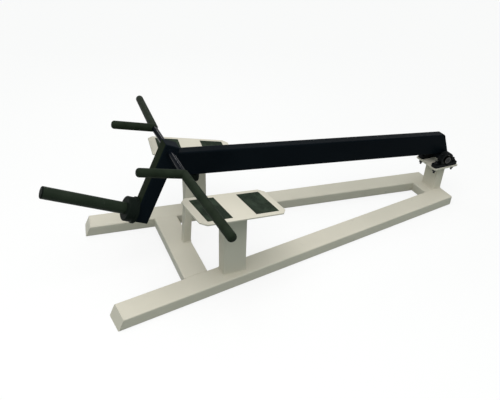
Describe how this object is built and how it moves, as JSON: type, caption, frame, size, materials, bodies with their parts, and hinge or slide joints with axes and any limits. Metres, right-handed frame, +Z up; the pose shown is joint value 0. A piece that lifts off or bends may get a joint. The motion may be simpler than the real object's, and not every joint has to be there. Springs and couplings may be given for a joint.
{
  "type": "lever row machine",
  "caption": "Plate-loaded lever row machine: splayed floor frame, sloped footplates, and a hinged lever with a plate horn and multi-grip handle.",
  "frame": {"origin": "on the floor, below the middle of the overall length and width", "axes": "+X from the plate horn towards the pivot end, +Y to the right of someone who stands on the footplates facing -X, +Z up"},
  "size_m": [1.996, 1.2008, 0.5825],
  "materials": {
    "frame_paint": "cream powder coat, fine orange peel",
    "lever_paint": "satin black powder coat",
    "handle_steel": "smooth semi-gloss black",
    "grip_rubber": "matte moulded rubber",
    "black_rubber": "matte rubber",
    "anti_slip": "gritty anti-slip sheet",
    "cast_housing": "painted black casting",
    "bearing_steel": "ground bearing steel",
    "blackened_steel": "oiled black oxide"
  },
  "bodies": {
    "base": {"left_rail": "frame_paint", "right_rail": "frame_paint", "left_rail_front_cap": "frame_paint", "right_rail_front_cap": "frame_paint", "left_rail_rear_cap": "frame_paint", "right_rail_rear_cap": "frame_paint", "front_cross_member": "frame_paint", "rear_cross_member": "frame_paint", "left_foot_post": "frame_paint", "right_foot_post": "frame_paint", "left_footplate": "frame_paint", "right_footplate": "frame_paint", "left_front_strip": "anti_slip", "left_rear_strip": "anti_slip", "right_front_strip": "anti_slip", "right_rear_strip": "anti_slip", "stop_post": "frame_paint", "stop_post_cap": "frame_paint", "rear_post": "frame_paint", "pivot_plate": "frame_paint", "left_pillow_block": "cast_housing", "right_pillow_block": "cast_housing", "left_outer_ring": "bearing_steel", "right_outer_ring": "bearing_steel", "grease_nipples": "blackened_steel", "bearing_studs": "blackened_steel", "bearing_washers": "blackened_steel", "bearing_nuts": "blackened_steel", "bearing_lock_nuts": "blackened_steel"},
    "lever": {"left_inner_ring": "bearing_steel", "right_inner_ring": "bearing_steel", "bearing_set_screws": "blackened_steel", "pivot_shaft": "blackened_steel", "pivot_hub": "lever_paint", "lever_tube": "lever_paint", "lever_rear_cap": "lever_paint", "drop_arm": "lever_paint", "drop_arm_top_cap": "lever_paint", "drop_arm_foot_cap": "lever_paint", "horn_tube": "lever_paint", "horn_flange": "lever_paint", "horn_ring": "black_rubber", "horn_cap": "black_rubber", "handle_bar": "handle_steel", "left_outer_bar": "handle_steel", "right_outer_bar": "handle_steel", "left_forward_bar": "handle_steel", "right_forward_bar": "handle_steel", "left_grip": "grip_rubber", "right_grip": "grip_rubber", "bumper": "black_rubber", "bumper_bolt": "blackened_steel", "bumper_nut": "blackened_steel"},
    "left_ball_set": {"left_balls": "bearing_steel", "left_cage": "bearing_steel"},
    "right_ball_set": {"right_balls": "bearing_steel", "right_cage": "bearing_steel"}
  },
  "joints": [
    {"name": "lever_swing", "type": "hinge", "parent": "base", "child": "lever", "pos_m": [0.925, 0, 0.2335], "axis": [0, 1, 0], "range_deg": [0, 35]},
    {"name": "left_ball_roll", "type": "hinge", "parent": "base", "child": "left_ball_set", "pos_m": [0.925, -0.052, 0.2335], "axis": [0, 1, 0], "range_deg": [0, 14]},
    {"name": "right_ball_roll", "type": "hinge", "parent": "base", "child": "right_ball_set", "pos_m": [0.925, 0.052, 0.2335], "axis": [0, 1, 0], "range_deg": [0, 14]}
  ],
  "couplings": [
    {"joint": "left_ball_roll", "follows": "lever_swing", "ratio": 0.3961},
    {"joint": "right_ball_roll", "follows": "lever_swing", "ratio": 0.3961}
  ]
}
